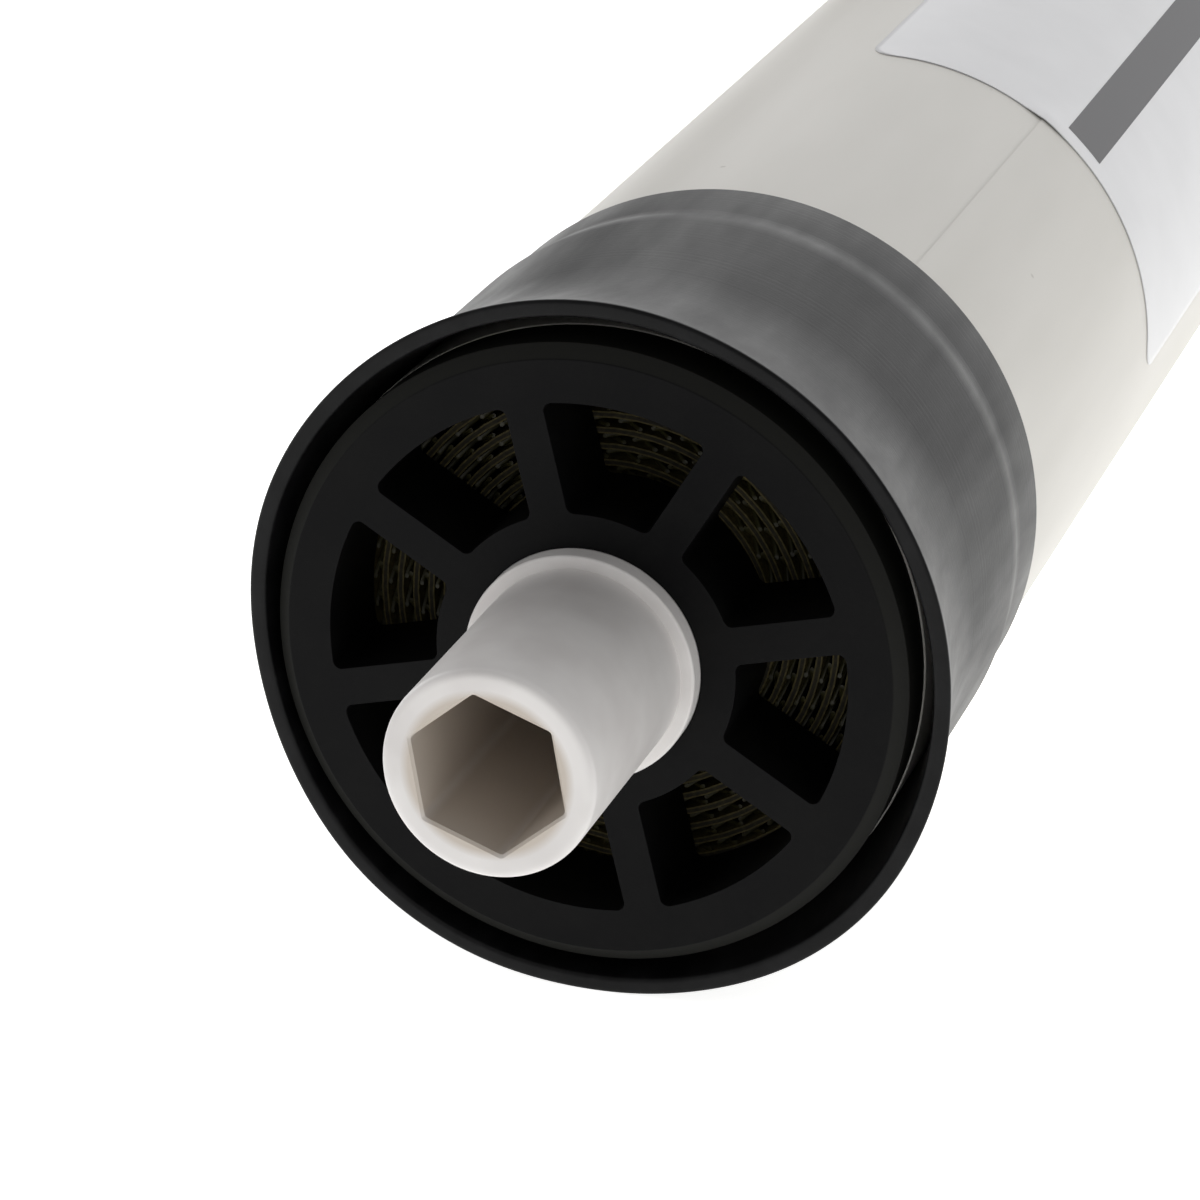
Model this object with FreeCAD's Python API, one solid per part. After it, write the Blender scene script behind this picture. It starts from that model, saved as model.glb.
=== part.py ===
import FreeCAD, Part
import math
import os
from FreeCAD import Vector

# Spiral-wound reverse osmosis element, 2.5 inch class, lying along Y.
# The origin is the centre of the shoulder at the front tube end. The front, where the
# feed water enters and the brine seal sits, points to -Y. Millimetres and degrees.
# Directions around the axis are measured from +X towards +Z.

# Overall
element_length = 533.4      # tube tip to tube tip, 21 inches

# Permeate tube
tube_dia = 21.5
tube_end_dia = 19.05        # turned-down ends that adapters slide over, 3/4 inch
tube_end_length = 24.0
tube_tip_chamfer = 0.8
hex_across_flats = 12.7     # hexagonal bore, 1/2 inch
hex_corner_radius = 0.5
hex_turn = 39.6             # direction of one corner
drain_hole_dia = 2.5
drain_hole_pitch = 80.0
drain_end_margin = 25.0     # first and last drain hole to the roll's ends

# End wheels
wheel_thickness = 11.0
wheel_setback = 1.8         # tube shoulder in front of the wheel's face
wheel_drop = 0.1            # rim below the wrap's surface
flange_thickness = 6.0
wheel_bevel_width = 1.3
wheel_bevel_depth = 1.0
ring_width = 5.3            # rim to the windows
hub_wall = 3.2
hub_clearance = 0.05        # hub to the tube
spoke_count = 8
spoke_width = 3.5
spoke_turn = 13.5           # direction of one spoke of the front wheel

# Membrane roll, two leaves that start on opposite sides of the tube
envelope_thickness = 0.61   # two membranes with the permeate carrier glued between them
spacer_thickness = 0.88     # feed spacer net that lies on the envelope
leaf_gap = 0.02
roll_end_gap = 0.05         # roll to the wheels' inner faces

# Outer wrap
wrap_dia = 59.2
wrap_wall = 0.60
film_thickness = 0.12       # step where the film's last turn ends
seam_turn = 54.3            # direction of that step
wrap_end_gap = 0.10         # wrap to the wheel flanges
wrap_clearance = 0.05       # wrap to the roll and to the wheel spigots

# Brine seal
seal_rim_offset = 0.2       # front rim behind the wheel's face
seal_length = 46.4
seal_clearance = 0.02
seal_back_wall = 0.55
seal_back_length = 8.0
seal_step_length = 3.0
seal_wall = 1.05
lip_length = 19.0
lip_rim_wall = 1.6
lip_flare = 2.36            # rise of the lip's outer face from the sleeve to the rim
lip_stage_count = 3
# The rim is out of round: waves around it, height and direction of one crest
rim_waves = [(1, 0.67, 24.0), (2, 0.25, 108.0), (3, 0.09, -15.0), (4, 0.14, -34.0), (5, 0.14, 20.0)]
rim_point_count = 36

# Label
label_front = 102.3         # from the front tube shoulder
label_length = 100.0
label_width = 51.0          # measured around the wrap
label_turn = 44.0           # direction of its middle
label_corner_radius = 3.0
label_thickness = 0.12
label_clearance = 0.02

# Modelling aids
overrun = 1.0               # how far cutting shapes reach past what they cut
parallel_limit = 0.001      # sine of the angle up to which directions count as parallel

# Places worked out from the sizes above
front_shoulder = 0.0
front_tip = front_shoulder - tube_end_length
rear_tip = front_tip + element_length
rear_shoulder = rear_tip - tube_end_length
front_face = front_shoulder + wheel_setback
rear_face = rear_shoulder - wheel_setback
roll_front = front_face + wheel_thickness + roll_end_gap
roll_rear = rear_face - wheel_thickness - roll_end_gap
wrap_front = front_face + flange_thickness + wrap_end_gap
wrap_rear = rear_face - flange_thickness - wrap_end_gap
wrap_inner_radius = wrap_dia / 2 - wrap_wall
wrap_outer_radius = wrap_dia / 2 + film_thickness
roll_inner_radius = tube_dia / 2 + leaf_gap
leaf_thickness = envelope_thickness + spacer_thickness
leaf_pitch = leaf_thickness + leaf_gap
hub_bore_radius = tube_dia / 2 + hub_clearance
hub_radius = hub_bore_radius + hub_wall
wheel_radius = wrap_dia / 2 - wheel_drop
window_outer_radius = wheel_radius - ring_width

centre = Vector(0, 0, 0)
along = Vector(0, 1, 0)


def polar(radius, degrees, y=0.0):
    angle = math.radians(degrees)
    return Vector(radius * math.cos(angle), y, radius * math.sin(angle))


def turned(shape, degrees):
    return shape.rotated(centre, -along, degrees)


def cylinder(dia, y_from, y_to):
    return Part.makeCylinder(dia / 2, y_to - y_from, Vector(0, y_from, 0), along)


def revolved(profile):
    """Solid of revolution about Y from a closed profile of (y, radius) points."""
    points = [Vector(radius, y, 0) for y, radius in profile]
    return Part.Face(Part.makePolygon(points + points[:1])).revolve(centre, along, 360)


def edges_along(shape, direction):
    """The edges of a straight-sided shape that run in a direction."""
    return [edge for edge in shape.Edges
            if edge.tangentAt(edge.FirstParameter).cross(direction).Length < parallel_limit]


# Permeate tube: stepped round outside, hexagonal bore, drain holes inside the roll
def tube_outside():
    body = tube_dia / 2
    end = tube_end_dia / 2
    tip = end - tube_tip_chamfer
    return revolved([
        (front_tip, 0), (front_tip, tip), (front_tip + tube_tip_chamfer, end),
        (front_shoulder, end), (front_shoulder, body), (rear_shoulder, body), (rear_shoulder, end),
        (rear_tip - tube_tip_chamfer, end), (rear_tip, tip), (rear_tip, 0)])


def hex_bore():
    radius = hex_across_flats / math.sqrt(3)
    corners = [polar(radius, hex_turn + 60 * i, front_tip - overrun) for i in range(6)]
    hexagon = Part.Face(Part.makePolygon(corners + corners[:1]))
    prism = hexagon.extrude(along * (element_length + 2 * overrun))
    return prism.makeFillet(hex_corner_radius, edges_along(prism, along))


def drain_drills():
    """Holes through the middles of two opposite flats of the bore, on either side in turn."""
    first = roll_front + drain_end_margin
    span = roll_rear - drain_end_margin - first
    steps = max(1, int(span / drain_hole_pitch))
    for i in range(steps + 1):
        direction = hex_turn + 30 + 180 * (i % 2)
        start = Vector(0, first + i * span / steps, 0)
        yield Part.makeCylinder(drain_hole_dia / 2, tube_dia, start, polar(1, direction))


def permeate_tube():
    return tube_outside().cut(hex_bore()).cut(Part.makeCompound(list(drain_drills())))


# End wheel, face at y = 0 and spigot towards +Y
def wheel_blank():
    spigot = wrap_inner_radius - wrap_clearance
    return revolved([
        (0, hub_bore_radius), (0, wheel_radius - wheel_bevel_width), (wheel_bevel_depth, wheel_radius),
        (flange_thickness, wheel_radius), (flange_thickness, spigot),
        (wheel_thickness, spigot), (wheel_thickness, hub_bore_radius)])


def wheel_windows():
    """The ring-shaped opening around the hub, less the spokes that cross it."""
    back = wheel_thickness + overrun
    ring = cylinder(2 * window_outer_radius, -overrun, back).cut(cylinder(2 * hub_radius, -overrun, back))
    spoke = Part.makeBox(window_outer_radius + overrun, back + overrun, spoke_width,
                         Vector(0, -overrun, -spoke_width / 2))
    spokes = [turned(spoke, 360 / spoke_count * i) for i in range(spoke_count)]
    return ring.cut(Part.makeCompound(spokes))


def end_wheel():
    return wheel_blank().cut(wheel_windows())


def front_end_wheel():
    return turned(end_wheel(), spoke_turn).translated(Vector(0, front_face, 0))


def rear_end_wheel():
    facing_back = end_wheel().rotated(centre, Vector(0, 0, 1), 180)
    return turned(facing_back, spoke_turn).translated(Vector(0, rear_face, 0))


# Membrane roll: every leaf is a ribbon wound in half circles, whose two centres lie
# half a leaf pitch to either side of the axis, so that the leaves nest
half_turns = int((wrap_inner_radius - wrap_clearance - roll_inner_radius) / leaf_pitch) - 1


def spiral_line(leaf, offset):
    """Half circles of the spiral that lies `offset` outside a leaf's inner face."""
    arcs = []
    for i in range(half_turns):
        side = 1 if (i + leaf) % 2 == 0 else -1
        start = roll_inner_radius + offset + i * leaf_pitch
        end = start + leaf_pitch
        middle = Vector(-side * leaf_pitch / 2, roll_front, side * (start + end) / 2)
        points = Vector(side * start, roll_front, 0), middle, Vector(-side * end, roll_front, 0)
        arcs.append(Part.Arc(*points).toShape())
    return arcs


def membrane_leaf(leaf):
    """A membrane envelope and the feed spacer on it, as one ribbon."""
    inner = spiral_line(leaf, 0)
    outer = spiral_line(leaf, leaf_thickness)
    ends = [Part.makeLine(inner[i].Vertexes[i].Point, outer[i].Vertexes[i].Point) for i in (0, -1)]
    outline = Part.Wire(Part.__sortEdges__(inner + outer + ends))
    return Part.Face(outline).extrude(along * (roll_rear - roll_front))


# Outer wrap: the film's outer face spirals in by one film thickness around its turn
def wrap_outline():
    high = wrap_outer_radius
    middle = high - film_thickness / 2
    low = high - film_thickness
    lift = film_thickness / 4
    first = Part.Arc(Vector(high, 0, 0), Vector(lift, 0, -(high + middle) / 2), Vector(-middle, 0, 0))
    second = Part.Arc(Vector(-middle, 0, 0), Vector(-lift, 0, (middle + low) / 2), Vector(low, 0, 0))
    step = Part.makeLine(Vector(low, 0, 0), Vector(high, 0, 0))
    return Part.Wire([first.toShape(), second.toShape(), step])


def outer_wrap():
    length = wrap_rear - wrap_front
    film = Part.Face(wrap_outline()).extrude(along * length)
    film = film.cut(cylinder(2 * wrap_inner_radius, -overrun, length + overrun))
    return turned(film, seam_turn).translated(Vector(0, wrap_front, 0))


# Brine seal: a rubber sleeve gripping the wrap, with a flared and bent lip at the front
def seal_section(y, radius, bend):
    """Closed curve around the axis; `bend` is the share of the rim's waves that it has."""
    points = []
    for i in range(rim_point_count):
        direction = 360 / rim_point_count * i
        waves = sum(height * math.cos(math.radians(order * (direction - crest)))
                    for order, height, crest in rim_waves)
        points.append(polar(radius + bend * waves, direction, y))
    curve = Part.BSplineCurve()
    curve.interpolate(points, PeriodicFlag=True)
    return Part.Wire(curve.toShape())


def flare(root_y, root_radius, rim_radius):
    """Sections of the lip from its root to the rim, each stage steeper than the last."""
    for i in range(1, lip_stage_count + 1):
        along_lip = i / lip_stage_count
        bend = along_lip ** 2
        radius = root_radius + bend * (rim_radius - root_radius)
        yield seal_section(root_y - along_lip * lip_length, radius, bend)


def brine_seal():
    inner = wrap_outer_radius + seal_clearance
    sleeve = inner + seal_wall
    band = inner + seal_back_wall
    rim = sleeve + lip_flare
    root_y = front_face + seal_rim_offset + lip_length
    back_y = front_face + seal_rim_offset + seal_length
    step_y = back_y - seal_back_length
    outside = [seal_section(y, radius, 0) for y, radius in (
        (back_y, band), (step_y, band), (step_y - seal_step_length, sleeve), (root_y, sleeve))]
    inside = [seal_section(y, inner, 0) for y in (back_y, root_y)]
    outside += flare(root_y, sleeve, rim)
    inside += flare(root_y, inner, rim - lip_rim_wall)
    return Part.makeLoft(outside, True, True).cut(Part.makeLoft(inside, True, True))


# Label: a thin sheet on the wrap, cut out by a rounded prism
def label():
    inner = wrap_outer_radius + label_clearance
    back = label_front + label_length
    skin = cylinder(2 * (inner + label_thickness), label_front, back)
    skin = skin.cut(cylinder(2 * inner, label_front - overrun, back + overrun))
    half_width = wrap_outer_radius * math.sin(label_width / wrap_outer_radius / 2)
    prism = Part.makeBox(wrap_dia, label_length, 2 * half_width, Vector(0, label_front, -half_width))
    prism = prism.makeFillet(label_corner_radius, edges_along(prism, Vector(1, 0, 0)))
    return skin.common(turned(prism, label_turn))


def build():
    shapes = {
        "permeate_tube": permeate_tube(),
        "front_end_wheel": front_end_wheel(),
        "rear_end_wheel": rear_end_wheel(),
        "outer_wrap": outer_wrap(),
        "brine_seal": brine_seal(),
        "label": label(),
    }
    for leaf in (0, 1):
        shapes["membrane_leaf_" + str(leaf + 1)] = membrane_leaf(leaf)
    return shapes


os.makedirs("parts", exist_ok=True)
for node, shape in build().items():
    solid = shape.Solids[0] if len(shape.Solids) == 1 else shape
    print(node, len(shape.Solids), "solid", round(shape.Volume / 1000, 2), "cm3", shape.isValid())
    solid.exportStep("parts/" + node + ".step")
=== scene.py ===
import bmesh
import bpy
import math
import random
from mathutils import Matrix, Vector, noise


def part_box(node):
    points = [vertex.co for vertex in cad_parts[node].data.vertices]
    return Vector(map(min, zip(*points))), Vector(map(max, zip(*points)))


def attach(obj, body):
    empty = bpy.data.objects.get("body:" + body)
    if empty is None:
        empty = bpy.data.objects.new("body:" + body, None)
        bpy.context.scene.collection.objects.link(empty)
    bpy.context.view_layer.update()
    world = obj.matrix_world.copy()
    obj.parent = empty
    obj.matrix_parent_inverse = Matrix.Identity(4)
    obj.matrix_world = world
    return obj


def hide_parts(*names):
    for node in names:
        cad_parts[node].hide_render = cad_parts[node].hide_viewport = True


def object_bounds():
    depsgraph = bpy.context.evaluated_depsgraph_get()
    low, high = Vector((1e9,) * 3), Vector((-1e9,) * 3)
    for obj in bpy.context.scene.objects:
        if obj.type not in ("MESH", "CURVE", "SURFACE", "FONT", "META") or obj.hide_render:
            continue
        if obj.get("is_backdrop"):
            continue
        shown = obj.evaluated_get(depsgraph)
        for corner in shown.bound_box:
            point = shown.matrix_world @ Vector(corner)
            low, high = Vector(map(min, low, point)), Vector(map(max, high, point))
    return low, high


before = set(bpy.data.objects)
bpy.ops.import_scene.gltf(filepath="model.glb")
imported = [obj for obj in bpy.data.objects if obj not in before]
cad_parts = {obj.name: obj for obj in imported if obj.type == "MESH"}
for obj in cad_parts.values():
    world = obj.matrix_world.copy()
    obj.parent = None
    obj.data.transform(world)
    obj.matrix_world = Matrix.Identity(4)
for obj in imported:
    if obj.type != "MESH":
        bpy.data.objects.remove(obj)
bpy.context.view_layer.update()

mm = 0.001
print("frame loaded:", len(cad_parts), "nodes")


def nodeSpan(node):
    # front and back of a node along the element
    low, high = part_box(node)
    return low.y, high.y


def nodeRadius(node):
    low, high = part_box(node)
    return (high.x - low.x) / 2


tubeFront, tubeBack = nodeSpan("permeate_tube")
wheelFront, wheelFrontBack = nodeSpan("front_end_wheel")
wheelRear = nodeSpan("rear_end_wheel")[1]
wrapFront, wrapBack = nodeSpan("outer_wrap")
sealFront, sealBack = nodeSpan("brine_seal")
labelFront, labelBack = nodeSpan("label")
rollFront, rollBack = nodeSpan("membrane_leaf_1")
tubeRadius = nodeRadius("permeate_tube")
wheelRadius = nodeRadius("front_end_wheel")
wrapRadius = nodeRadius("outer_wrap")


def polar(radius, degrees, y=0.0):
    # directions around the axis go from +X towards +Z, as in the frame
    angle = math.radians(degrees)
    return Vector((radius * math.cos(angle), y, radius * math.sin(angle)))


def meshPiece(name, points, faces, material, smooth=True):
    mesh = bpy.data.meshes.new(name)
    mesh.from_pydata([tuple(p) for p in points], [], faces)
    mesh.materials.append(material)
    mesh.polygons.foreach_set("use_smooth", [smooth] * len(mesh.polygons))
    form = bmesh.new()
    form.from_mesh(mesh)
    bmesh.ops.recalc_face_normals(form, faces=form.faces)
    form.to_mesh(mesh)
    form.free()
    piece = bpy.data.objects.new(name, mesh)
    bpy.context.scene.collection.objects.link(piece)
    return piece


def ringGrid(rows, closedRows=True):
    # joins rows of points, each a closed ring, into quads; the rows may close on themselves too
    count = len(rows[0])
    points = [p for row in rows for p in row]
    faces = []
    last = len(rows) if closedRows else len(rows) - 1
    for i in range(last):
        a, b = i * count, (i + 1) % len(rows) * count
        for j in range(count):
            k = (j + 1) % count
            faces.append((a + j, a + k, b + k, b + j))
    return points, faces


def roundedCorner(before, corner, after, radius, steps=4):
    # points of a round corner in a (y, radius) outline
    before, corner, after = Vector(before), Vector(corner), Vector(after)
    start = corner + (before - corner).normalized() * radius
    end = corner + (after - corner).normalized() * radius
    line = []
    for i in range(steps + 1):
        t = i / steps
        line.append((1 - t) ** 2 * start + 2 * t * (1 - t) * corner + t ** 2 * end)
    return line


def useModifier(piece, kind, **settings):
    modifier = piece.modifiers.new(kind.title(), kind)
    for key, value in settings.items():
        setattr(modifier, key, value)
    return modifier


def applyModifiers(piece):
    bpy.context.view_layer.update()
    evaluated = piece.evaluated_get(bpy.context.evaluated_depsgraph_get())
    mesh = bpy.data.meshes.new_from_object(evaluated)
    piece.modifiers.clear()
    piece.data = mesh
    return piece


def cutAway(piece, cutter):
    useModifier(piece, "BOOLEAN", object=cutter, operation="DIFFERENCE", solver="EXACT")
    applyModifiers(piece)
    bpy.data.objects.remove(cutter)


def finishPiece(piece, slot, *nodes):
    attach(piece, "root")
    if nodes:
        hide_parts(*nodes)


def linear(hexColour):
    channels = [int(hexColour[i:i + 2], 16) / 255 for i in (1, 3, 5)]
    return tuple(c / 12.92 if c <= 0.04045 else ((c + 0.055) / 1.055) ** 2.4 for c in channels) + (1.0,)


def newMaterial(name, colour, roughness, ior, **sockets):
    material = bpy.data.materials.new(name)
    material.use_nodes = True
    shader = material.node_tree.nodes["Principled BSDF"]
    shader.inputs["Base Color"].default_value = linear(colour)
    shader.inputs["Roughness"].default_value = roughness
    shader.inputs["IOR"].default_value = ior
    for socket, value in sockets.items():
        shader.inputs[socket.replace("_", " ")].default_value = value
    material.diffuse_color = linear(colour)
    return material, material.node_tree, shader


def addNode(tree, kind, links=(), sockets=(), stops=(), **settings):
    # adds a node, sets its properties, sockets and ramp stops, and links outputs of other nodes into it
    node = tree.nodes.new("ShaderNode" + kind)
    for key, value in settings.items():
        setattr(node, key, value)
    for socket, value in dict(sockets).items():
        node.inputs[socket].default_value = value
    for socket, output in dict(links).items():
        tree.links.new(output, node.inputs[socket])
    for i, (position, colour) in enumerate(stops):
        node.color_ramp.elements[i].position = position
        node.color_ramp.elements[i].color = linear(colour)
    return node


def axisDistance(tree, place):
    # how far a point of the surface lies from the element's axis
    axes = addNode(tree, "SeparateXYZ", {"Vector": place})
    flat = addNode(tree, "CombineXYZ", {"X": axes.outputs["X"], "Y": axes.outputs["Z"]})
    return addNode(tree, "VectorMath", {0: flat.outputs["Vector"]}, operation="LENGTH").outputs["Value"]


tubeLook = {
    "colour": "#dedad8",        # off-white, not bleached
    "boreShadeColour": "#c3b9ae",    # painted shade: the bore is coloured darker and browner where shade falls in it
    "boreShadeFade": (7.0 * mm, 7.8 * mm),   # distances from the axis where that painted shade fades out
    "stainSize": 9.0 * mm,
    "grain": 0.35 * mm,         # mould texture
    "tipRounding": 0.9 * mm,
    "boreRounding": 0.25 * mm,
    "endRadius": 9.525 * mm,
    "endLength": 24.0 * mm,
    "boreAcross": 12.7 * mm,
    "boreCorner": 0.5 * mm,
    "boreTurn": 39.6,
    "drainHole": 2.5 * mm,
    "drainMargin": 25.0 * mm,
    "drainCount": 6,
    "drainSides": 16,
}


def mouldedTubeAbs():
    # satin white ABS: soft wide highlights, a faint orange-peel grain, and painted shade inside the bore, a
    # duller brown
    material, tree, shader = newMaterial("mouldedTubeAbs", tubeLook["colour"], 0.42, 1.53)
    place = addNode(tree, "TexCoord").outputs["Object"]
    inside, outside = tubeLook["boreShadeFade"]
    # painted shade: the bore is coloured darker and browner, fading out towards the outer face
    bore = addNode(tree, "MapRange", {"Value": axisDistance(tree, place)},
                   {"From Min": inside, "From Max": outside})
    stain = addNode(tree, "TexNoise", {"Vector": place}, {"Scale": 1 / tubeLook["stainSize"], "Detail": 3.0})
    tint = addNode(tree, "ValToRGB", {"Fac": stain.outputs["Fac"]},
                   stops=[(0.35, "#d6d2d0"), (0.65, "#e4e1df")])
    colour = addNode(tree, "Mix", {"Factor": bore.outputs["Result"], "B": tint.outputs["Color"]},
                     {"A": linear(tubeLook["boreShadeColour"])}, data_type="RGBA")
    tree.links.new(colour.outputs["Result"], shader.inputs["Base Color"])
    grain = addNode(tree, "TexNoise", {"Vector": place}, {"Scale": 1 / tubeLook["grain"], "Detail": 2.0})
    bump = addNode(tree, "Bump", {"Height": grain.outputs["Fac"]}, {"Strength": 0.12, "Distance": 0.05 * mm})
    tree.links.new(bump.outputs["Normal"], shader.inputs["Normal"])
    return material


def hexagonRing(y, grow=0.0, sides=6, cornerSteps=6, flatSteps=14):
    # the bore's outline with rounded corners, widened by grow
    across = tubeLook["boreAcross"] / 2 + grow
    corner = tubeLook["boreCorner"]
    reach = (across - corner) / math.cos(math.pi / sides)
    ring = []
    for i in range(sides):
        turn = tubeLook["boreTurn"] + 60 * i
        middle = polar(reach, turn, y)
        arc = [middle + polar(corner, turn - 30 + 60 * k / cornerSteps) for k in range(cornerSteps + 1)]
        following = polar(reach, turn + 60, y) + polar(corner, turn + 30)
        ring += arc
        ring += [arc[-1].lerp(following, k / flatSteps) for k in range(1, flatSteps)]
    return ring


def tubeOutline():
    # outside of the tube from the front bore edge to the rear one
    end, tip = tubeLook["endRadius"], tubeLook["tipRounding"]
    front = roundedCorner((tubeFront, 0), (tubeFront, end), (tubeBack, end), tip, 8)
    back = roundedCorner((tubeFront, end), (tubeBack, end), (tubeBack, 0), tip, 8)
    shoulder = tubeFront + tubeLook["endLength"]
    rearShoulder = tubeBack - tubeLook["endLength"]
    edge = 0.3 * mm
    body = roundedCorner((shoulder, 0), (shoulder, tubeRadius), (rearShoulder, tubeRadius), edge)
    body += roundedCorner((shoulder, tubeRadius), (rearShoulder, tubeRadius), (rearShoulder, 0), edge)
    return front + [Vector((shoulder, end))] + body + [Vector((rearShoulder, end))] + back


def permeateTube(material):
    inner = [hexagonRing(tubeBack, tubeLook["boreRounding"]),
             hexagonRing(tubeBack - tubeLook["boreRounding"]),
             hexagonRing(tubeFront + tubeLook["boreRounding"]),
             hexagonRing(tubeFront, tubeLook["boreRounding"])]
    angles = [math.degrees(math.atan2(p.z, p.x)) for p in inner[0]]
    outer = [[polar(radius, angle, y) for angle in angles] for y, radius in tubeOutline()]
    tube = meshPiece("permeateTube", *ringGrid(outer + inner), material)
    first = rollFront + tubeLook["drainMargin"]
    pitch = (rollBack - tubeLook["drainMargin"] - first) / (tubeLook["drainCount"] - 1)
    count, radius = tubeLook["drainSides"], tubeLook["drainHole"] / 2
    for i in range(tubeLook["drainCount"]):
        # every other hole is on the far side
        direction = tubeLook["boreTurn"] + 30 + 180 * (i % 2)
        middle = Vector((0, first + pitch * i, 0))
        across = Matrix.Rotation(math.radians(90 - direction), 3, "Y")
        drill = [[middle + across @ Vector((radius * math.cos(a), radius * math.sin(a), depth))
                  for a in [math.tau * k / count for k in range(count)]] for depth in (0.0, 2 * tubeRadius)]
        points, faces = ringGrid(drill, closedRows=False)
        faces += [tuple(range(count - 1, -1, -1)), tuple(range(count, 2 * count))]
        cutAway(tube, meshPiece("drill", points, faces, material))
    useModifier(tube, "EDGE_SPLIT", split_angle=math.radians(35))
    finishPiece(tube, "tube_plastic", "permeate_tube")


wheelLook = {
    "colour": "#09090a",
    "bevelHighlightColour": "#1d1d1b",   # painted highlight: the bevel and rim are coloured paler where they catch the light
    "bevelWidth": 1.3 * mm,
    "bevelDepth": 1.0 * mm,
    "flange": 6.0 * mm,
    "spigotRadius": 28.95 * mm,
    "hubRadius": 14.0 * mm,
    "windowRadius": 24.2 * mm,
    "boreRadius": 10.8 * mm,
    "spokes": 8,
    "spokeWidth": 3.5 * mm,
    "spokeTurn": 13.5,
    "windowCorner": 0.8 * mm,
    "edgeRounding": 0.22 * mm,
    "markSize": 6.0 * mm,
    "grain": 0.25 * mm,
    "roundSteps": 192,
}


def mouldedWheelAbs():
    # black ABS off a lightly etched mould: matt with a weak grey sheen, a few paler handling marks, and a
    # painted highlight on the outer bevel and rim
    material, tree, shader = newMaterial("mouldedWheelAbs", wheelLook["colour"], 0.5, 1.53,
                                         Specular_IOR_Level=0.08)
    place = addNode(tree, "TexCoord").outputs["Object"]
    marks = addNode(tree, "TexNoise", {"Vector": place},
                    {"Scale": 1 / wheelLook["markSize"], "Detail": 5.0, "Roughness": 0.6})
    colour = addNode(tree, "ValToRGB", {"Fac": marks.outputs["Fac"]},
                     stops=[(0.4, "#070708"), (0.7, "#0d0d0d")])
    # painted highlight: the outer bevel and rim are coloured paler than the rest of the wheel
    rim = addNode(tree, "MapRange", {"Value": axisDistance(tree, place)},
                  {"From Min": wheelRadius - wheelLook["bevelWidth"],
                   "From Max": wheelRadius - 0.9 * wheelLook["bevelWidth"]})
    bevelHighlight = addNode(tree, "Mix", {"Factor": rim.outputs["Result"], "A": colour.outputs["Color"]},
                     {"B": linear(wheelLook["bevelHighlightColour"])}, data_type="RGBA")
    tree.links.new(bevelHighlight.outputs["Result"], shader.inputs["Base Color"])
    worn = addNode(tree, "MapRange", {"Value": marks.outputs["Fac"]}, {"To Min": 0.44, "To Max": 0.6})
    tree.links.new(worn.outputs["Result"], shader.inputs["Roughness"])
    grain = addNode(tree, "TexNoise", {"Vector": place}, {"Scale": 1 / wheelLook["grain"], "Detail": 2.0})
    bump = addNode(tree, "Bump", {"Height": grain.outputs["Fac"]}, {"Strength": 0.25, "Distance": 0.04 * mm})
    tree.links.new(bump.outputs["Normal"], shader.inputs["Normal"])
    return material


def windowOutline(middle, steps=14):
    # one opening between two spokes, as (x, z) points, its corners rounded
    half, corner = wheelLook["spokeWidth"] / 2, wheelLook["windowCorner"]
    outer, inner = wheelLook["windowRadius"], wheelLook["hubRadius"]
    share = math.pi / wheelLook["spokes"]

    def arc(radius, sign, cornerRadius):
        # circle points between the two corner roundings
        limit = share - math.asin((half + corner) / cornerRadius)
        return [Vector((radius * math.cos(a), radius * math.sin(a)))
                for a in [sign * limit * (2 * k / steps - 1) for k in range(steps + 1)]]

    def cornerArc(cornerRadius, sign, begin, end):
        angle = sign * (share - math.asin((half + corner) / cornerRadius))
        centre = Vector((cornerRadius * math.cos(angle), cornerRadius * math.sin(angle)))
        return [centre + corner * Vector((math.cos(a), math.sin(a)))
                for a in [begin + (end - begin) * k / 6 for k in range(1, 6)]]

    farLimit = share - math.asin((half + corner) / (outer - corner))
    nearLimit = share - math.asin((half + corner) / (inner + corner))
    side = share + math.pi / 2
    line = arc(outer, 1, outer - corner)
    line += cornerArc(outer - corner, 1, farLimit, side)
    line += cornerArc(inner + corner, 1, side, nearLimit + math.pi)
    line += arc(inner, -1, inner + corner)
    line += cornerArc(inner + corner, -1, math.pi - nearLimit, 2 * math.pi - side)
    line += cornerArc(outer - corner, -1, -side, -farLimit)
    turn = Matrix.Rotation(math.radians(middle), 2)
    return [turn @ p for p in line]


def endWheel(name, node, face, inward, material):
    # face is the outer face's place, inward the direction of the spigot
    look = wheelLook
    depth = wheelFrontBack - wheelFront
    outline = [(0, look["boreRadius"]), (0, wheelRadius - look["bevelWidth"]),
               (look["bevelDepth"], wheelRadius), (look["flange"], wheelRadius),
               (look["flange"], look["spigotRadius"]), (depth, look["spigotRadius"]),
               (depth, look["boreRadius"])]
    steps = look["roundSteps"]
    rows = [[polar(radius, 360 / steps * k, face + inward * y) for k in range(steps)]
            for y, radius in outline]
    wheel = meshPiece(name, *ringGrid(rows), material)
    for i in range(look["spokes"]):
        middle = look["spokeTurn"] + 360 / look["spokes"] * (i + 0.5)
        line = windowOutline(middle)
        count = len(line)
        low, high = sorted((face - inward * mm, face + inward * (depth + mm)))
        prism = [Vector((x, y, z)) for y in (low, high) for x, z in line]
        sides = [(k, (k + 1) % count, count + (k + 1) % count, count + k) for k in range(count)]
        sides += [tuple(range(count - 1, -1, -1)), tuple(range(count, 2 * count))]
        cutAway(wheel, meshPiece("window", prism, sides, material))
    useModifier(wheel, "BEVEL", width=look["edgeRounding"], segments=2, limit_method="ANGLE",
                angle_limit=math.radians(35), harden_normals=True)
    finishPiece(wheel, "wheel_plastic", node)


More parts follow.
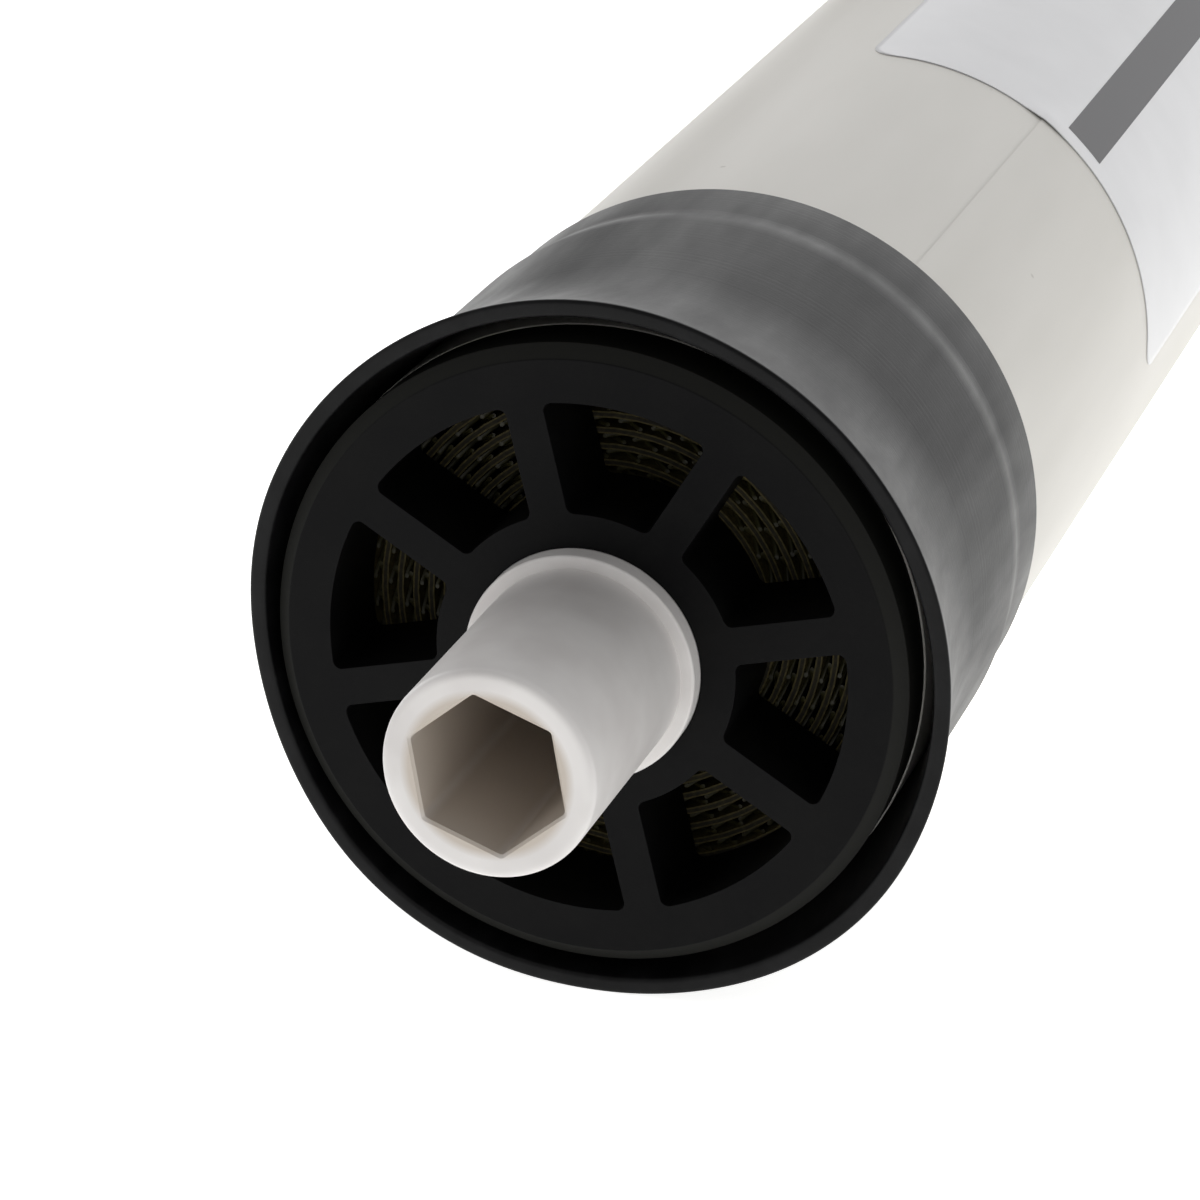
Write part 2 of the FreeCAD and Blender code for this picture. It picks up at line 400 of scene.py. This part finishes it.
sealLook = {
    "colour": "#0e0e0f",
    "wall": 1.05 * mm,
    "backWall": 0.55 * mm,
    "backLength": 8.0 * mm,
    "stepLength": 3.0 * mm,
    "lipLength": 19.0 * mm,
    "rimWall": 1.6 * mm,
    "lipFlare": 2.36 * mm,
    "flareCurve": 1.8,           # how late along its length the lip flares out
    "clearance": 0.02 * mm,
    "edgeRounding": 0.3 * mm,
    "rimRounding": 0.45 * mm,
    "stepRounding": 1.4 * mm,
    "bloomSize": 3.5 * mm,
    "grain": 0.3 * mm,
    # order, height in mm and direction of one crest of the waves in the bent rim
    "rimWaves": [(1, 0.67, 24.0), (2, 0.25, 108.0), (3, 0.09, -15.0), (4, 0.14, -34.0), (5, 0.14, 20.0)],
    "ringSpacing": 0.45 * mm,    # turning lines left by the mould
    "ripple": 0.05 * mm,
}


def mouldedRubber():
    # EPDM: nearly black and matt, with fine turned lines around it and smoky handling bloom
    material, tree, shader = newMaterial("mouldedRubber", sealLook["colour"], 0.5, 1.5,
                                         Specular_IOR_Level=0.15)
    place = addNode(tree, "TexCoord").outputs["Object"]
    axes = addNode(tree, "SeparateXYZ", {"Vector": place})
    stretch = addNode(tree, "Mapping", {"Vector": place}, {"Scale": (1.0, 0.22, 1.0)})
    bloom = addNode(tree, "TexNoise", {"Vector": stretch.outputs["Vector"]},
                    {"Scale": 1 / sealLook["bloomSize"], "Detail": 6.0, "Roughness": 0.62})
    colour = addNode(tree, "ValToRGB", {"Fac": bloom.outputs["Fac"]},
                     stops=[(0.42, "#0a0a0b"), (0.75, "#171718")])
    tree.links.new(colour.outputs["Color"], shader.inputs["Base Color"])
    dull = addNode(tree, "MapRange", {"Value": bloom.outputs["Fac"]}, {"To Min": 0.26, "To Max": 0.5})
    tree.links.new(dull.outputs["Result"], shader.inputs["Roughness"])
    along = addNode(tree, "CombineXYZ", {"X": axes.outputs["Y"]})
    lines = addNode(tree, "TexNoise", {"Vector": along.outputs["Vector"]},
                    {"Scale": 1 / sealLook["ringSpacing"], "Detail": 3.0})
    grain = addNode(tree, "TexNoise", {"Vector": place}, {"Scale": 1 / sealLook["grain"], "Detail": 2.0})
    height = addNode(tree, "Math", {0: grain.outputs["Fac"], 2: lines.outputs["Fac"]}, {1: 0.5},
                     operation="MULTIPLY_ADD")
    bump = addNode(tree, "Bump", {"Height": height.outputs["Value"]}, {"Strength": 0.3, "Distance": 0.05 * mm})
    tree.links.new(bump.outputs["Normal"], shader.inputs["Normal"])
    return material


def brineSeal(material, turns=240):
    look = sealLook
    inner = wrapRadius + look["clearance"]
    sleeve, band = inner + look["wall"], inner + look["backWall"]
    rim = sleeve + look["lipFlare"]
    root = sealFront + look["lipLength"]
    step = sealBack - look["backLength"]
    stepFoot = step - look["stepLength"]

    def flare(rootRadius, rimRadius, count=18):
        line = []
        for i in range(count + 1):
            share = i / count
            rise = share ** look["flareCurve"] * (rimRadius - rootRadius)
            line.append(Vector((root - share * look["lipLength"], rootRadius + rise)))
        return line

    outside = roundedCorner((sealBack, inner), (sealBack, band), (step, band), look["edgeRounding"])
    outside += roundedCorner((sealBack, band), (step, band), (stepFoot, sleeve), look["stepRounding"], 8)
    outside += roundedCorner((step, band), (stepFoot, sleeve), (root, sleeve), look["stepRounding"], 8)
    outside += [Vector((stepFoot - (stepFoot - root) * k / 8, sleeve)) for k in range(2, 8)]
    outside += flare(sleeve, rim)[:-1]
    inside = flare(inner, rim - look["rimWall"])[::-1][1:]
    front = roundedCorner(outside[-1], (sealFront, rim), (sealFront, inner), look["rimRounding"])
    front += roundedCorner((sealFront, rim), (sealFront, rim - look["rimWall"]), inside[0],
                           look["rimRounding"])
    section = outside + front + inside + [Vector((sealBack, inner))]
    rows = []
    for y, radius in section:
        share = min(1.0, max(0.0, (root - y) / look["lipLength"]))
        bend = share ** look["flareCurve"]
        row = []
        for k in range(turns):
            direction = 360 / turns * k
            waves = sum(height * mm * math.cos(math.radians(order * (direction - crest)))
                        for order, height, crest in look["rimWaves"])
            uneven = noise.noise(polar(3.0, direction, y / (12 * mm))) * look["ripple"] * min(1, 4 * share)
            row.append(polar(radius + bend * waves + uneven, direction, y))
        rows.append(row)
    finishPiece(meshPiece("brineSeal", *ringGrid(rows), material), "seal_rubber", "brine_seal")


wrapLook = {
    "colour": "#cfccc6",         # warm light grey
    "filmStep": 0.12 * mm,
    "seamTurn": 54.3,
    "wall": 0.6 * mm,
    "edgeRounding": 0.08 * mm,
    "creaseSize": 14.0 * mm,
    "speckColour": "#9a958c",
    "speckSpacing": 9.0 * mm,
}


def wrapSurface(direction):
    # the film's last turn ends in a step at the seam, so the radius falls slowly around the turn
    turn = (wrapLook["seamTurn"] - direction) % 360 / 360
    return wrapRadius - wrapLook["filmStep"] * turn


def glossyFilm():
    # satin polyester film over the roll: soft even gloss, faint creases along the element, few specks
    material, tree, shader = newMaterial("glossyFilm", wrapLook["colour"], 0.42, 1.55)
    place = addNode(tree, "TexCoord").outputs["Object"]
    stretch = addNode(tree, "Mapping", {"Vector": place}, {"Scale": (1.0, 0.18, 1.0)})
    crease = addNode(tree, "TexNoise", {"Vector": stretch.outputs["Vector"]},
                     {"Scale": 1 / wrapLook["creaseSize"], "Detail": 3.0})
    colour = addNode(tree, "ValToRGB", {"Fac": crease.outputs["Fac"]},
                     stops=[(0.3, "#c9c6bf"), (0.7, "#d6d3cd")])
    speck = addNode(tree, "TexVoronoi", {"Vector": place}, {"Scale": 1 / wrapLook["speckSpacing"]})
    dot = addNode(tree, "MapRange", {"Value": speck.outputs["Distance"]},
                  {"From Min": 0.02, "From Max": 0.04, "To Min": 0.5, "To Max": 0.0})
    dirt = addNode(tree, "Mix", {"Factor": dot.outputs["Result"], "A": colour.outputs["Color"]},
                   {"B": linear(wrapLook["speckColour"])}, data_type="RGBA")
    tree.links.new(dirt.outputs["Result"], shader.inputs["Base Color"])
    bump = addNode(tree, "Bump", {"Height": crease.outputs["Fac"]}, {"Strength": 0.25, "Distance": 0.4 * mm})
    tree.links.new(bump.outputs["Normal"], shader.inputs["Normal"])
    return material


def outerWrap(material, turns=360):
    look = wrapLook
    angles = [look["seamTurn"] - 360 * k / turns for k in range(turns + 1)]
    surface = [wrapRadius - look["filmStep"] * k / turns for k in range(turns + 1)]
    inner = wrapRadius - look["filmStep"] - look["wall"]
    edge = look["edgeRounding"]
    rows = []
    for y, drop in ((wrapFront, edge), (wrapFront + edge, 0), (wrapBack - edge, 0), (wrapBack, edge)):
        rows.append([polar(radius - drop, angle, y) for angle, radius in zip(angles, surface)])
    for y in (wrapBack, wrapFront):
        rows.append([polar(inner, angle, y) for angle in angles[:-1]] + [polar(inner, angles[0], y)])
    wrap = meshPiece("outerWrap", *ringGrid(rows), material)
    useModifier(wrap, "EDGE_SPLIT", split_angle=math.radians(40))
    finishPiece(wrap, "wrap_film", "outer_wrap")


labelLook = {
    "colour": "#dddddf",
    "width": 51.0 * mm,          # around the wrap
    "turn": 44.0,                # direction of its middle
    "corner": 3.0 * mm,
    "thickness": 0.12 * mm,
    "clearance": 0.02 * mm,
    "seamSpread": 1.6 * mm,      # how far the label bridges the wrap's seam
    "cloudSize": 8.0 * mm,
    "grain": 0.4 * mm,
    "blister": {"turn": 53.0, "inFromFront": 1.5 * mm, "height": 0.18 * mm, "size": 2.2 * mm},
    "bar": {"colour": "#37363a", "fromTurn": 39.3, "toTurn": 49.1, "inFromFront": 3.0 * mm,
            "length": 66.0 * mm, "thickness": 0.015 * mm},
}


def labelSurface(direction, y):
    # follows the wrap, bridges its seam and lifts in a small blister beside it
    look = labelLook
    spread = math.degrees(look["seamSpread"] / wrapRadius)
    bridged = (wrapSurface(direction - spread) + wrapSurface(direction + spread)) / 2
    radius = max(wrapSurface(direction), bridged) + look["clearance"]
    blister = look["blister"]
    around = math.radians(direction - blister["turn"]) * wrapRadius
    away = math.hypot(around, y - labelFront - blister["inFromFront"])
    return radius + blister["height"] * math.exp(-(away / blister["size"]) ** 2)


def labelFilm(name, colour, roughness):
    # satin printed polypropylene: a little cooler and duller than the wrap, with a faint film texture
    material, tree, shader = newMaterial(name, colour, roughness, 1.49)
    place = addNode(tree, "TexCoord").outputs["Object"]
    cloud = addNode(tree, "TexNoise", {"Vector": place}, {"Scale": 1 / labelLook["cloudSize"], "Detail": 3.0})
    shade = addNode(tree, "MapRange", {"Value": cloud.outputs["Fac"]}, {"To Min": 0.94, "To Max": 1.06})
    tint = addNode(tree, "HueSaturation", {"Value": shade.outputs["Result"]}, {"Color": linear(colour)})
    tree.links.new(tint.outputs["Color"], shader.inputs["Base Color"])
    grain = addNode(tree, "TexNoise", {"Vector": place}, {"Scale": 1 / labelLook["grain"], "Detail": 2.0})
    bump = addNode(tree, "Bump", {"Height": grain.outputs["Fac"]}, {"Strength": 0.1, "Distance": 0.03 * mm})
    tree.links.new(bump.outputs["Normal"], shader.inputs["Normal"])
    return material


def sheetOnWrap(name, material, fromTurn, toTurn, front, back, corner, lift, thickness,
                cornerSteps=8, lengthSteps=60, across=72):
    # a thin sheet with round corners that lies on the label's surface
    middle = (fromTurn + toTurn) / 2
    half = math.radians(toTurn - fromTurn) / 2 * wrapRadius
    length = back - front
    ends = [corner * (1 - math.cos(math.pi / 2 * k / cornerSteps)) for k in range(cornerSteps + 1)]
    lengthwise = ends + [corner + (length - 2 * corner) * k / lengthSteps for k in range(1, lengthSteps)]
    lengthwise += [length - v for v in reversed(ends)]
    rows = []
    for v in lengthwise:
        inset = max(0.0, corner - min(v, length - v))
        narrow = corner - math.sqrt(max(0.0, corner ** 2 - inset ** 2)) if corner else 0.0
        row = []
        for k in range(across + 1):
            offset = (half - narrow) * (2 * k / across - 1)
            direction = middle + math.degrees(offset / wrapRadius)
            y = front + v
            row.append(polar(labelSurface(direction, y) + lift + thickness, direction, y))
        rows.append(row)
    count = across + 1
    points = [p for row in rows for p in row]
    faces = [(i * count + k, i * count + k + 1, (i + 1) * count + k + 1, (i + 1) * count + k)
             for i in range(len(rows) - 1) for k in range(across)]
    sheet = meshPiece(name, points, faces, material)
    if sheet.data.polygons[0].normal.dot(Vector((points[0].x, 0, points[0].z))) < 0:
        sheet.data.flip_normals()
    useModifier(sheet, "SOLIDIFY", thickness=thickness, offset=-1.0, use_rim=True)
    return sheet


def label(film, ink):
    look, bar = labelLook, labelLook["bar"]
    half = math.degrees(look["width"] / wrapRadius) / 2
    sheet = sheetOnWrap("labelSheet", film, look["turn"] - half, look["turn"] + half, labelFront, labelBack,
                        look["corner"], 0.0, look["thickness"])
    finishPiece(sheet, "label_film", "label")
    front = labelFront + bar["inFromFront"]
    printed = sheetOnWrap("labelBar", ink, bar["fromTurn"], bar["toTurn"], front, front + bar["length"],
                          0.0, look["thickness"], bar["thickness"])
    finishPiece(printed, "label_film")


rollLook = {
    "pitch": 1.51 * mm,          # one leaf, as in the frame
    "halfTurns": 11,
    "membrane": 0.15 * mm,
    "carrier": 0.31 * mm,
    "strand": 0.42 * mm,         # two crossing layers of strands make the net
    "strandSpacing": 2.9 * mm,
    "strandLength": 2.6 * mm,
    "strandWiden": 1.3,          # the cut across a leaning strand is an oval
    "strandSides": 7,
    "innerGap": 0.02 * mm,
    "ragged": 0.12 * mm,         # how unevenly the sheets end
    "setBack": 0.1 * mm,         # the sheets end this far inside the roll
    "fibre": 0.5 * mm,
    "knitLoop": 0.45 * mm,
    "drawLines": 2.0 * mm,
}


def castMembrane():
    # polysulfone coated polyester felt: matt cut edges, their tan darkened to olive as painted shade of the
    # roll's end
    material, tree, shader = newMaterial("castMembrane", "#5a5030", 0.75, 1.5)
    place = addNode(tree, "TexCoord").outputs["Object"]
    fibre = addNode(tree, "TexNoise", {"Vector": place}, {"Scale": 1 / rollLook["fibre"], "Detail": 4.0})
    # painted shade: these browns are the membranes' tan darkened for the shade deep in the wheel's windows
    colour = addNode(tree, "ValToRGB", {"Fac": fibre.outputs["Fac"]},
                     stops=[(0.35, "#453e1c"), (0.65, "#625830")])
    tree.links.new(colour.outputs["Color"], shader.inputs["Base Color"])
    return material


def knittedCarrier():
    # epoxy-stiffened polyester tricot between the membranes: matt, darker and browner with glue, and darkened
    # further as painted shade of the roll's end
    material, tree, shader = newMaterial("knittedCarrier", "#2c2715", 0.8, 1.5)
    place = addNode(tree, "TexCoord").outputs["Object"]
    loop = addNode(tree, "TexVoronoi", {"Vector": place}, {"Scale": 1 / rollLook["knitLoop"]})
    # partly painted shade: the glue's brown is darkened further for the shade in the wheel's windows
    colour = addNode(tree, "ValToRGB", {"Fac": loop.outputs["Distance"]},
                     stops=[(0.1, "#332d19"), (0.7, "#1d190d")])
    tree.links.new(colour.outputs["Color"], shader.inputs["Base Color"])
    return material


def extrudedNet():
    # extruded polypropylene strands: slightly waxy, dark in the shade of the roll
    material, tree, shader = newMaterial("extrudedNet", "#2a2817", 0.45, 1.49)
    place = addNode(tree, "TexCoord").outputs["Object"]
    draw = addNode(tree, "TexNoise", {"Vector": place}, {"Scale": 1 / rollLook["drawLines"], "Detail": 2.0})
    colour = addNode(tree, "ValToRGB", {"Fac": draw.outputs["Fac"]},
                     stops=[(0.3, "#2b2911"), (0.7, "#3d3a1c")])
    tree.links.new(colour.outputs["Color"], shader.inputs["Base Color"])
    return material


def spiralPoint(leaf, offset, degrees, y):
    # half circles on two centres, half a pitch to either side of the axis
    pitch = rollLook["pitch"]
    half = min(int(degrees / 180), rollLook["halfTurns"] - 1)
    side = 1 if (half + leaf) % 2 == 0 else -1
    radius = tubeRadius + rollLook["innerGap"] + offset + (half + 0.5) * pitch
    angle = math.radians(degrees + 180 * leaf)
    return Vector((radius * math.cos(angle) - side * pitch / 2, y, radius * math.sin(angle)))


def woundSheets(name, material, layers, steps=30):
    # layers are (offset outside the leaf's inner face, thickness)
    points, faces = [], []
    total = rollLook["halfTurns"] * steps
    for leaf in (0, 1):
        for number, (offset, thickness) in enumerate(layers):
            start = len(points)
            for i in range(total + 1):
                degrees = 180 * i / steps
                uneven = rollLook["ragged"] * noise.noise(Vector((i / 25, leaf * 7.3, number * 3.1)))
                inset = rollLook["setBack"] + abs(uneven)
                for y in (rollFront + inset, rollBack - inset):
                    points.append(spiralPoint(leaf, offset, degrees, y))
                    points.append(spiralPoint(leaf, offset + thickness, degrees, y))
            for i in range(total):
                a, b = start + 4 * i, start + 4 * (i + 1)
                faces += [(a, b, b + 1, a + 1), (a + 2, a + 3, b + 3, b + 2),
                          (a, a + 2, b + 2, b), (a + 1, b + 1, b + 3, a + 3)]
            end = start + 4 * total
            faces += [(start, start + 1, start + 3, start + 2), (end, end + 2, end + 3, end + 1)]
    sheets = meshPiece(name, points, faces, material, smooth=False)
    finishPiece(sheets, "membrane_sheet")
    return sheets


def spacerNet(material):
    # strands cut off at the roll's ends: two layers in the space between the leaves, leaning both ways
    look, sides = rollLook, rollLook["strandSides"]
    envelope = 2 * look["membrane"] + look["carrier"]
    points, faces = [], []
    chance = random.Random(7)
    for leaf in (0, 1):
        for layer, lean in ((0, 1), (1, -1)):
            offset = envelope + look["strand"] * (0.52 + 1.04 * layer)
            chance.random()          # sets each layer's spacings off from the last one's
            degrees = 0.0
            while degrees < 180 * look["halfTurns"] - 1:
                radius = tubeRadius + offset + degrees / 180 * look["pitch"]
                for edge, inward in ((rollFront, 1), (rollBack, -1)):
                    front = edge + inward * (0.15 + 0.15 * chance.random()) * mm
                    turnPerLength = math.degrees(lean / radius)
                    rings = []
                    for depth in (0.0, look["strandLength"]):
                        at = min(max(degrees + depth * turnPerLength, 0.0), 180.0 * look["halfTurns"] - 0.1)
                        centre = spiralPoint(leaf, offset, at, front + inward * depth)
                        outwards = Vector((centre.x, 0, centre.z)).normalized()
                        around = Vector((-outwards.z, 0, outwards.x))
                        rings.append([centre + look["strand"] / 2 *
                                      (math.cos(a) * outwards + look["strandWiden"] * math.sin(a) * around)
                                      for a in [math.tau * k / sides for k in range(sides)]])
                    start = len(points)
                    ringPoints, ringFaces = ringGrid(rings, closedRows=False)
                    points += ringPoints
                    faces += [tuple(start + v for v in face) for face in ringFaces]
                    faces.append(tuple(start + k for k in range(sides)))
                degrees += math.degrees(look["strandSpacing"] * (0.92 + 0.16 * chance.random()) / radius)
    net = meshPiece("spacerNet", points, faces, material)
    useModifier(net, "EDGE_SPLIT", split_angle=math.radians(50))
    finishPiece(net, "membrane_sheet")


def membraneRoll():
    look = rollLook
    inner, carrier = look["membrane"], look["carrier"]
    membranes = woundSheets("membraneSheets", castMembrane(), [(0.0, inner), (inner + carrier, inner)])
    woundSheets("permeateCarriers", knittedCarrier(), [(inner, carrier)])
    spacerNet(extrudedNet())
    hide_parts("membrane_leaf_1", "membrane_leaf_2")


tubeAbs = mouldedTubeAbs()
permeateTube(tubeAbs)
print("permeate tube built")
wheelAbs = mouldedWheelAbs()
endWheel("frontEndWheel", "front_end_wheel", wheelFront, 1, wheelAbs)
endWheel("rearEndWheel", "rear_end_wheel", wheelRear, -1, wheelAbs)
print("end wheels built")
membraneRoll()
print("membrane roll built")
outerWrap(glossyFilm())
brineSeal(mouldedRubber())
print("wrap and brine seal built")
label(labelFilm("labelPolypropylene", labelLook["colour"], 0.38),
      labelFilm("printedBar", labelLook["bar"]["colour"], 0.45))
print("label built")


studio = {
    "floorColour": "#f4f4f3",
    "floorGlow": 0.95,           # the sweep is lit from below as well, so shadows hardly show on it
    "floorSize": 6.0,
    "worldColour": "#ffffff",
    "worldStrength": 0.38,
    # place, size in metres and power in watts of each soft box
    "softBoxes": {
        "behindAbove": {"place": (0.2, 1.5, 1.0), "size": 2.6, "power": 19.0},
        "farLeft": {"place": (-1.5, 0.7, 0.35), "size": 1.4, "power": 9.0},
        "frontLeft": {"place": (-0.9, -0.7, 0.2), "size": 0.5, "power": 0.7},
    },
    "target": (0.0, 0.02, 0.0),
}
cameraLook = {
    "azimuth": 18.31,
    "elevation": 22.13,
    "lens": 133.4,
    "sensor": 36.0,
    "distance": 371.9 * mm,      # to the middle of the tube's front tip
    "tipRight": -9.49 * mm,      # where that tip lies from the view's middle
    "tipUp": -14.74 * mm,
}


def studioFloor():
    # matt white sweep paper, lit so evenly that it has hardly any tone of its own
    material, tree, shader = newMaterial("sweepPaper", studio["floorColour"], 0.9, 1.45)
    place = addNode(tree, "TexCoord").outputs["Object"]
    cloud = addNode(tree, "TexNoise", {"Vector": place}, {"Scale": 2.0})
    tone = addNode(tree, "ValToRGB", {"Fac": cloud.outputs["Fac"]},
                   stops=[(0.3, "#f3f3f2"), (0.7, "#f6f6f5")])
    tree.links.new(tone.outputs["Color"], shader.inputs["Base Color"])
    shader.inputs["Emission Color"].default_value = linear(studio["floorColour"])
    shader.inputs["Emission Strength"].default_value = studio["floorGlow"]
    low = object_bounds()[0].z
    reach = studio["floorSize"] / 2
    signs = ((-1, -1), (1, -1), (1, 1), (-1, 1))
    corners = [Vector((reach * across, reach * along, low)) for across, along in signs]
    floor = meshPiece("studioFloor", corners, [(0, 1, 2, 3)], material, smooth=False)
    floor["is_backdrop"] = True


def softLight():
    world = bpy.data.worlds.new("studioWorld")
    world.use_nodes = True
    background = world.node_tree.nodes["Background"]
    background.inputs["Color"].default_value = linear(studio["worldColour"])
    background.inputs["Strength"].default_value = studio["worldStrength"]
    bpy.context.scene.world = world
    bpy.context.scene.view_settings.view_transform = "Standard"
    for name, box in studio["softBoxes"].items():
        light = bpy.data.lights.new(name, "AREA")
        light.shape = "DISK"
        light.size = box["size"]
        light.energy = box["power"]
        lamp = bpy.data.objects.new(name, light)
        lamp.location = box["place"]
        lamp.rotation_euler = (Vector(studio["target"]) - lamp.location).to_track_quat("-Z", "Y").to_euler()
        bpy.context.scene.collection.objects.link(lamp)


def placeCamera():
    look = cameraLook
    azimuth, elevation = math.radians(look["azimuth"]), math.radians(look["elevation"])
    back = Vector((math.sin(azimuth) * math.cos(elevation), -math.cos(azimuth) * math.cos(elevation),
                   math.sin(elevation)))
    right = Vector((math.cos(azimuth), math.sin(azimuth), 0))
    up = back.cross(right)
    data = bpy.data.cameras.new("studioCamera")
    data.lens, data.sensor_width = look["lens"], look["sensor"]
    data.clip_start, data.clip_end = 0.01, 20.0
    camera = bpy.data.objects.new("studioCamera", data)
    tip = Vector((0, tubeFront, 0))
    camera.location = tip + back * look["distance"] - right * look["tipRight"] - up * look["tipUp"]
    camera.rotation_euler = back.to_track_quat("Z", "Y").to_euler()
    bpy.context.scene.collection.objects.link(camera)
    bpy.context.scene.camera = camera


studioFloor()
softLight()
placeCamera()
print("studio ready")
